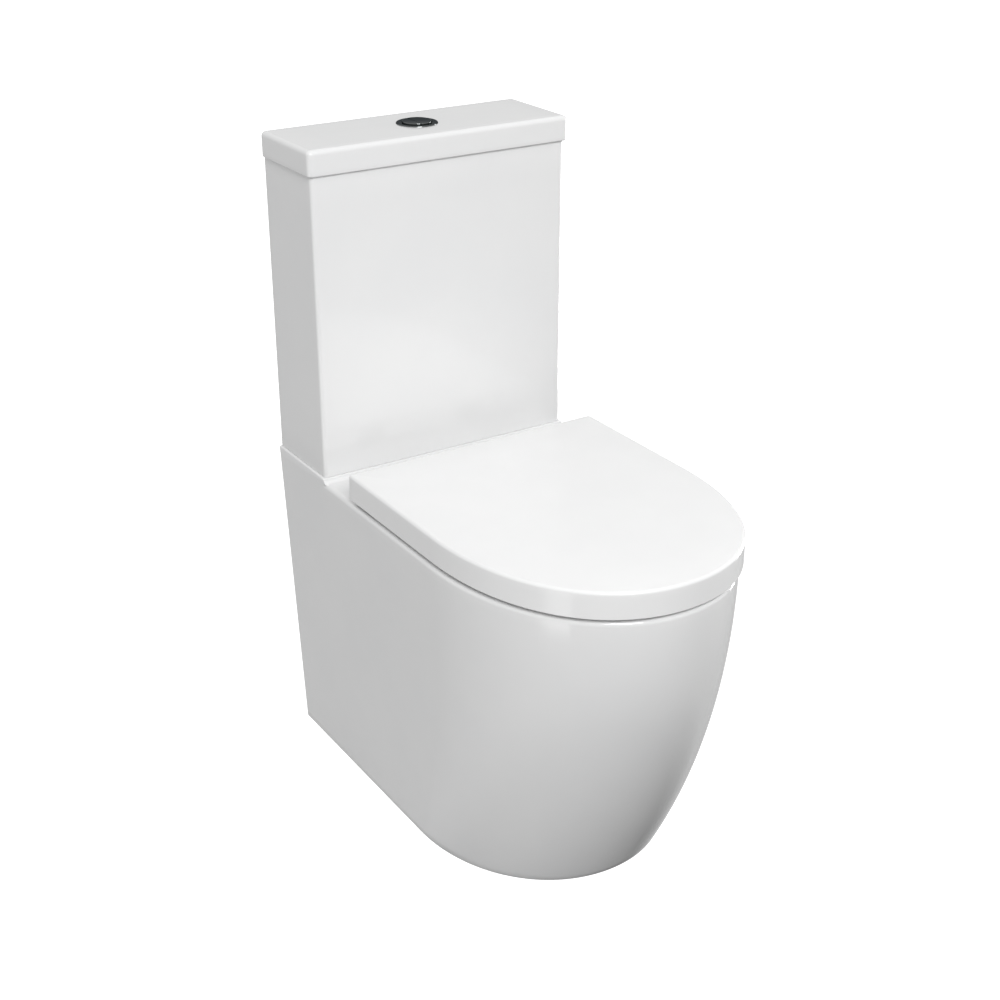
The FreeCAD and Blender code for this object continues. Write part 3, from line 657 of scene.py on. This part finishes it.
def trapPath():
    # runs in the plane x = 0 joined by arcs, from the sump over the weir to the outlet
    heights = [pan[name] for name in ("dipHeight", "dipHeight", "weirHeight", "weirHeight",
                                      "outletHeight", "outletHeight")]
    places = np.column_stack([[*pan["trapStarts"], pan["outletDepth"]], heights])
    points = [places[0]]
    for i, radius in enumerate(pan["trapBends"], 1):
        into = (places[i] - places[i - 1]) / np.linalg.norm(places[i] - places[i - 1])
        out = (places[i + 1] - places[i]) / np.linalg.norm(places[i + 1] - places[i])
        turn = math.acos(float(np.clip(into @ out, -1, 1)))
        reach = radius * math.tan(turn / 2)
        start = places[i] - into * reach
        side = out - into * (into @ out)
        centre = start + side / np.linalg.norm(side) * radius
        for a in np.linspace(0, turn, 12):
            points.append(centre + (start - centre) * math.cos(a) + into * radius * math.sin(a))
    points.append(places[-1])
    points = np.array(points)
    return np.column_stack([np.zeros(len(points)), rearY - points[:, 0], points[:, 1]])


def platformSlab():
    # section in Y and Z, with a concave blend at its front foot, carried across the width
    rim, top, blend = pan["rimHeight"], pan["platformHeight"], pan["stepBlend"]
    front = rearY - pan["platformDepth"]
    low = rim - pan["rimRound"]
    edge, under = pan["stepEdge"], 0.001
    section = [(rearY, low), (rearY, top)]
    section += [(front + edge * (1 - math.sin(a)), top - edge * (1 - math.cos(a)))
                for a in arcSteps(5)]
    blendHigh = top - rim - edge
    section += [(front - blend * (1 - math.cos(a)), rim + blendHigh * (1 - math.sin(a)))
                for a in arcSteps(7)[1:]]
    section += [(front - blend, rim - under), (front + 2 * under, rim - under),
                (front + 2 * under, low)]
    section = np.array(section)
    t = section[:, 1] / rim
    half = pan["floorHalf"] + (pan["topHalf"] - pan["floorHalf"]) * t
    side = pan["sideRound"]
    rings = []
    # the upper side edges are rounded: the outermost rings step in and down together
    nearTop = section[:, 1] > top - side - 0.0001
    steps = [(side * (1 - math.sin(a)), side * (1 - math.cos(a))) for a in arcSteps(5)]
    for x, drops in ((-1, steps[::-1]), (1, steps)):
        for inset, drop in drops:
            height = np.where(nearTop, section[:, 1] - drop, section[:, 1])
            rings.append(np.column_stack([x * (half - inset), section[:, 0], height]))
    return ringSurface("panPlatform", rings, capped=True)


def buildPan():
    body = ringSurface("panBody", panSolidRings())
    rim, top, flushY = pan["rimHeight"], pan["platformHeight"], rearY - pan["flushDepth"]
    path = trapPath()
    longer = np.vstack([path, path[-1] + [0, 2 * pan["past"], 0]])
    above, bore, recess, hole = (top + pan["past"], pan["flushRadius"], pan["recessRadius"],
                                 pan["boltHole"])
    low, step = rim - pan["flushDrop"], top - pan["recessDrop"]
    cuts = [panCavity(), pipe("trapInner", longer, pan["trapRadius"] - pan["trapWall"]),
            lathe("flushBore", [(0, low), (bore, low), (bore, step), (recess, step),
                                (recess, above), (0, above)], 0, flushY),
            block("ductInner", -pan["ductInner"], pan["ductInner"],
                  rearY - pan["ductReach"] - pan["ductPast"], flushY,
                  rim - pan["ductLow"] + pan["ductWall"], rim - pan["ductRoof"])]
    low = rim - pan["holeDrop"]
    for side in (-1, 1):
        for x, y in ((pan["boltX"], flushY), (pan["seatX"], rearY - pan["seatDepth"])):
            cuts.append(lathe("hole", [(0, low), (hole, low), (hole, above), (0, above)],
                              side * x, y, 32))
        x = side * pan["inletX"]
        cuts.append(block("inletNotch", x - pan["notchHalf"], x + pan["notchHalf"],
                          rearY - pan["notchReach"], rearY + pan["past"], low, above))
    combine(body, [platformSlab()], "UNION")
    combine(body, cuts, "DIFFERENCE")
    return finish(smooth(body), "vitreous_china", "root", "pan")


buildPan()
print("pan ready")

# cistern

cistern = {"corner": 0.005, "rearCorner": 0.002, "wall": 0.009, "floor": 0.012, "edge": 0.0012,
           "rimEdge": 0.002, "innerCorner": 0.012, "floorBlend": 0.01, "flushHole": 0.028,
           "boltHole": 0.005, "inletHole": 0.0125, "past": 0.01}


def cisternRings():
    low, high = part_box("cistern")
    y0, y1, z0, z1 = low.y, high.y, low.z, high.z
    half, corner, wall = high.x, cistern["corner"], cistern["wall"]
    e, r = cistern["edge"], cistern["rimEdge"]

    def outer(inset, z):
        return ring(boxOutline(half - inset, y0 + inset, y1 - inset, max(corner - inset, 0.002),
                               max(cistern["rearCorner"] - inset, 0.0005)), z)

    def inner(inset, z):
        return ring(boxOutline(half - wall - inset, y0 + wall + inset, y1 - wall - inset,
                               cistern["innerCorner"] - min(inset, 0.01)), z)

    count = len(boxOutline(half, y0, y1, corner))
    middle = (y0 + y1) / 2
    rings = [pole(0, middle, z0, count)]
    rings += [outer(e * (1 - math.sin(a)), z0 + e * (1 - math.cos(a))) for a in arcSteps(5)]
    rings += [outer(0, z) for z in np.linspace(z0 + e, z1 - r, 12)[1:]]
    rings += [outer(r * (1 - math.cos(a)), z1 - r + r * math.sin(a)) for a in arcSteps(5)[1:]]
    rings += [inner(-r * (1 - math.sin(a)), z1 - r * (1 - math.cos(a))) for a in arcSteps(5)]
    floorZ = z0 + cistern["floor"]
    blend = cistern["floorBlend"]
    rings += [inner(0, z) for z in np.linspace(z1 - r, floorZ + blend, 10)[1:]]
    rings += [inner(blend * (1 - math.cos(a)), floorZ + blend * (1 - math.sin(a)))
              for a in arcSteps(6)[1:]]
    rings.append(pole(0, middle, floorZ, count))
    return rings


def buildCistern():
    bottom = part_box("cistern")[0].z
    body = ringSurface("cisternBody", cisternRings())
    z0, z1 = bottom - cistern["past"], bottom + cistern["floor"] + cistern["past"]
    flushY = rearY - pan["flushDepth"]
    holes = [(0, cistern["flushHole"]), (-pan["boltX"], cistern["boltHole"]),
             (pan["boltX"], cistern["boltHole"]), (-pan["inletX"], cistern["inletHole"])]
    cuts = [lathe("hole", [(0, z0), (r, z0), (r, z1), (0, z1)], x, flushY, 48) for x, r in holes]
    combine(body, cuts, "DIFFERENCE")
    return finish(smooth(body), "vitreous_china", "root", "cistern")


lid = {"edge": 0.006, "corner": 0.0065, "topWall": 0.01, "rimWall": 0.013, "lipDrop": 0.005,
       "foot": 0.0015, "holeRadius": 0.0205, "holeEdge": 0.001, "innerCorner": 0.006,
       "lipRoom": 0.001, "lipHeight": 0.009, "lipWall": 0.006, "lipCorner": 0.011}


def lidRings():
    low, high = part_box("cistern_lid")
    half, y0, y1 = high.x, low.y, high.y
    z0, z1 = low.z + lid["lipDrop"], high.z
    e, foot, corner = lid["edge"], lid["foot"], lid["corner"]
    wall = lid["rimWall"]

    def outer(inset, z):
        return ring(boxOutline(half - inset, y0 + inset, y1 - inset,
                               max(corner - inset, 0.0005)), z)

    def inner(z):
        return ring(boxOutline(half - wall, y0 + wall, y1 - wall, lid["innerCorner"]), z)

    ceiling = z1 - lid["topWall"]
    middle = rearY - pan["flushDepth"]
    edge = outer(e, z1)
    radius, ease = lid["holeRadius"], lid["holeEdge"]
    hole = ring(ovalLike(edge[:, :2], middle, radius, radius), z1)
    holeEdge = ring(ovalLike(edge[:, :2], middle, radius + ease, radius + ease), z1)
    rings = [outer(foot * (1 - math.sin(a)), z0 + foot * (1 - math.cos(a))) for a in arcSteps(4)]
    rings += [outer(0, z) for z in np.linspace(z0 + foot, z1 - e, 6)[1:]]
    rings += [outer(e * (1 - math.cos(a)), z1 - e + e * math.sin(a)) for a in arcSteps(11)[1:]]
    rings += [edge * (1 - t) + holeEdge * t for t in (0.25, 0.5, 0.75, 1.0)]
    rings += [hole - [0, 0, ease], hole - [0, 0, lid["topWall"]]]
    under = inner(ceiling)
    rings += [rings[-1] * (1 - t) + under * t for t in (0.5, 1.0)]
    rings += [inner(z) for z in np.linspace(ceiling, z0, 4)[1:]]
    return rings


def buildLid():
    body = ringSurface("lidBody", lidRings(), joined=True)
    # the locating lip sits just inside the cistern's walls
    inset = cistern["wall"] + lid["lipRoom"]
    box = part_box("cistern")
    half, y0, y1 = box[1].x - inset, box[0].y + inset, box[1].y - inset
    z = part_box("cistern_lid")[0].z
    wall, top = lid["lipWall"], z + lid["lipHeight"]
    lipRings = [ring(boxOutline(half - i, y0 + i, y1 - i, lid["lipCorner"] - i * 0.7), h)
                for i, h in ((0.001, z), (0, z + 0.001), (0, top), (wall, top), (wall, z))]
    lip = ringSurface("lidLip", lipRings, joined=True)
    combine(body, [lip], "UNION")
    return finish(smooth(body), "vitreous_china", "cistern_lid", "cistern_lid")


buildCistern()
buildLid()
print("cistern and lid ready")

# seat

seat = {"half": 0.179, "frontWeight": 0.814, "curve": 0.2404, "corner": 0.0045, "wall": 0.005,
        "topWall": 0.006, "edge": 0.004, "rearLowEdge": 0.009, "foot": 0.0008,
        "ringGap": 0.0015, "ringEdge": 0.006, "ringHollowEdge": 0.009, "holeHalfWidth": 0.112,
        "holeHalfLength": 0.138, "holeDepth": 0.442, "hingeX": 0.0775, "hingeDepth": 0.2052,
        "hingeHeight": 0.44, "knuckle": 0.007, "knuckleWidth": 0.01, "knuckleGap": 0.002,
        "pillarHalf": 0.008, "plateRadius": 0.014, "bore": 0.00405, "ringRoom": 0.0225,
        "insideEase": 0.003, "notchRoom": 0.002, "plateRoom": 0.0035, "past": 0.002,
        "rearCorner": 0.02, "bumperGap": 0.0003, "lowEdge": 0.0015, "topFall": 0.001,
        "hollowDrop": 0.011, "webReach": 0.006, "coverBore": (0.084, 0.1),
        "ringBore": (0.055, 0.072)}


def coverRings():
    low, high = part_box("seat_cover")
    yFront, yBack = low.y, high.y
    z0, z1 = low.z, high.z
    e, foot, wall = seat["edge"], seat["foot"], seat["wall"]

    def outline(inset):
        return dOutline(seat["half"] - inset, yBack - inset, yFront + inset, seat["curve"] - inset,
                        seat["frontWeight"], max(seat["corner"] - inset, 0.0006))

    count = len(outline(0))
    ceiling = z1 - seat["topWall"]
    middle = yFront + seat["curve"]
    rings = [pole(0, middle, ceiling, count)]
    inside = outline(wall + seat["insideEase"])
    centre = np.array([0, middle])
    rings += [ring(centre + (inside - centre) * k, ceiling) for k in (0.5, 1.0)]
    rings += [ring(outline(wall), z)
              for z in np.linspace(ceiling - seat["insideEase"], z0 + foot, 6)]
    rings += [ring(outline(wall - 0.001), z0), ring(outline(foot), z0)]
    rings += [ring(outline(0), z) for z in np.linspace(z0 + foot, z1 - e, 6)]
    rings += [ring(outline(e * (1 - math.cos(a))), z1 - e + e * math.sin(a))
              for a in arcSteps(9)[1:]]
    top = outline(e)
    rings += [ring(centre + (top - centre) * k, z1) for k in (0.75, 0.5, 0.25)]
    rings.append(pole(0, middle, z1, count))
    return rings


def hingeLug(side, start, topZ, forward=0.0):
    # a round knuckle and the web that ties it to its piece
    y, z = rearY - seat["hingeDepth"], seat["hingeHeight"]
    x0, x1 = sorted((side * start, side * (start + seat["knuckleWidth"])))
    lug = barX("lug", x0, x1, y, z, seat["knuckle"])
    if forward:
        web = block("web", x0, x1, y - forward, y, z - seat["knuckle"], topZ)
    else:
        web = block("web", x0, x1, y - seat["knuckle"], y + seat["knuckle"], z, topZ)
    return [lug, web]


def hingeBores(xLow, xHigh):
    y, z = rearY - seat["hingeDepth"], seat["hingeHeight"]
    return [barX("bore", x0, x1, y, z, seat["bore"])
            for x0, x1 in ((-xHigh, -xLow), (xLow, xHigh))]


def buildCover():
    low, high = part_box("seat_cover")
    body = ringSurface("coverShell", coverRings())
    ceiling = high.z - seat["topWall"]
    r = seat["rearLowEdge"]
    past = 2 * seat["past"]
    # everything below and behind the round of the rear low edge, carried across the width
    wedge = [(high.y - r + r * math.sin(a), low.z + r - r * math.cos(a)) for a in arcSteps(12)]
    wedge += [(high.y + past, low.z + r), (high.y + past, low.z - past),
              (high.y - r, low.z - past)]
    wide = seat["half"] + 0.01
    rings = [np.column_stack([np.full(len(wedge), x), wedge]) for x in (-wide, wide)]
    ends = [pole(*sides[-2], len(wedge)) for sides in rings]
    cuts = [ringSurface("rearWedge", [ends[0]] + rings + [ends[1]])]
    for side in (-1, 1):
        near = (seat["hingeX"] - seat["pillarHalf"] - seat["knuckleGap"] - seat["knuckleWidth"]
                - seat["notchRoom"])
        far = seat["hingeX"] + seat["plateRadius"] + seat["plateRoom"]
        x0, x1 = sorted((side * near, side * far))
        cuts.append(block("notch", x0, x1, high.y - seat["wall"] - 0.001,
                          high.y + seat["past"], low.z - seat["past"], ceiling))
    combine(body, cuts, "DIFFERENCE")
    lugs = []
    for side in (-1, 1):
        start = seat["hingeX"] + seat["pillarHalf"] + seat["knuckleGap"]
        lugs += hingeLug(side, start, ceiling + 0.001)
    combine(body, lugs, "UNION")
    combine(body, hingeBores(*seat["coverBore"]), "DIFFERENCE")
    return finish(smooth(body), "seat_thermoset", "seat_cover", "seat_cover")


def seatRingRings():
    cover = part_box("seat_cover")
    inset = seat["wall"] + seat["ringGap"]
    z0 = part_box("ring_bumpers")[1].z
    z1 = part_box("cover_bumpers")[0].z - seat["bumperGap"]
    yFront, yBack = cover[0].y + inset, rearY - seat["hingeDepth"] - seat["ringRoom"]
    middle = rearY - seat["holeDepth"]

    def outline(extra):
        return dOutline(seat["half"] - inset - extra, yBack - extra, yFront + extra,
                        seat["curve"] - inset - extra, seat["frontWeight"],
                        seat["rearCorner"] - extra)

    edge, hollowEdge = seat["ringEdge"], seat["ringHollowEdge"]
    like = outline(edge)
    a, b = seat["holeHalfWidth"], seat["holeHalfLength"]

    def hole(grow):
        return ovalLike(like, middle, a + grow, b + grow)

    low, fall = seat["lowEdge"], seat["topFall"]
    rings = [ring(outline(low), z0)]
    rings += [ring(outline(0), z) for z in np.linspace(z0 + low, z1 - edge, 4)]
    rings += [ring(outline(edge * (1 - math.cos(t))), z1 - edge + edge * math.sin(t))
              for t in arcSteps(8)[1:]]
    inner = ring(hole(hollowEdge), z1 - fall)
    start = rings[-1]
    for t in np.linspace(0, 1, 9)[1:-1]:
        level = start * (1 - t) + inner * t
        level[:, 2] = z1 - fall * t ** 2
        rings.append(level)
    drop = seat["hollowDrop"]
    rings += [ring(hole(hollowEdge * (1 - math.sin(t))), z1 - fall - drop * (1 - math.cos(t)))
              for t in arcSteps(8)]
    rings += [ring(hole(0), z0 + low), ring(hole(low), z0)]
    return rings


def buildSeatRing():
    body = ringSurface("seatRingBody", seatRingRings(), joined=True)
    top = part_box("cover_bumpers")[0].z - seat["bumperGap"] - seat["topFall"]
    lugs = []
    for side in (-1, 1):
        start = seat["hingeX"] - seat["pillarHalf"] - seat["knuckleGap"] - seat["knuckleWidth"]
        lugs += hingeLug(side, start, top, seat["ringRoom"] + seat["webReach"])
    combine(body, lugs, "UNION")
    combine(body, hingeBores(*seat["ringBore"]), "DIFFERENCE")
    return finish(smooth(body), "seat_thermoset", "seat_ring", "seat_ring")


buildCover()
buildSeatRing()
print("seat ready")

# flush button

button = {"radius": 0.0185, "bezelRadius": 0.026, "bezelHeight": 0.0014,
          "splitX": -0.004, "splitGap": 0.00025, "edge": 0.0014, "dish": 0.0006}


def buildBezel():
    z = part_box("button_bezel")[0].z
    r0, r1, h = button["radius"] + 0.0003, button["bezelRadius"], button["bezelHeight"]
    profile = [(r0, z), (r1, z)]
    profile += [(r1 - h * 0.9 * (1 - math.cos(a)), z + h * math.sin(a)) for a in arcSteps(9)[1:]]
    profile += [(r0 + 0.0012, z + h * 0.92), (r0 + 0.0004, z + h * 0.8), (r0, z + h * 0.5)]
    body = lathe("bezelRing", profile, 0, rearY - pan["flushDepth"], 128)
    return finish(smooth(body, 50), "polished_chrome", "cistern_lid", "button_bezel")


def buildButtonHalf(name, side, node, bodyName):
    low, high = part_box(node)
    r, e = button["radius"], button["edge"]
    profile = [(0, low.z), (r, low.z), (r, high.z - e)]
    profile += [(r - e * (1 - math.cos(a)), high.z - e + e * math.sin(a)) for a in arcSteps(8)[1:]]
    # the top dips to the middle: height falls as dish x (1 - (share of the radius / 0.92)^2)
    profile += [(r * k, high.z - button["dish"] * (1 - (k / 0.92) ** 2))
                for k in (0.85, 0.7, 0.5, 0.25, 0)]
    y = rearY - pan["flushDepth"]
    body = lathe(name, profile, 0, y, 128)
    split = button["splitX"] + side * button["splitGap"]
    x0, x1 = (-0.03, split) if side > 0 else (split, 0.03)
    away = block("away", x0, x1, y - 0.03, y + 0.03, low.z - 0.01, high.z + 0.01)
    combine(body, [away], "DIFFERENCE")
    return finish(smooth(body), "polished_chrome", bodyName, node)


buildBezel()
buildButtonHalf("fullButtonCap", 1, "full_flush_button", "full_flush_button")
buildButtonHalf("halfButtonCap", -1, "half_flush_button", "half_flush_button")
print("button ready")
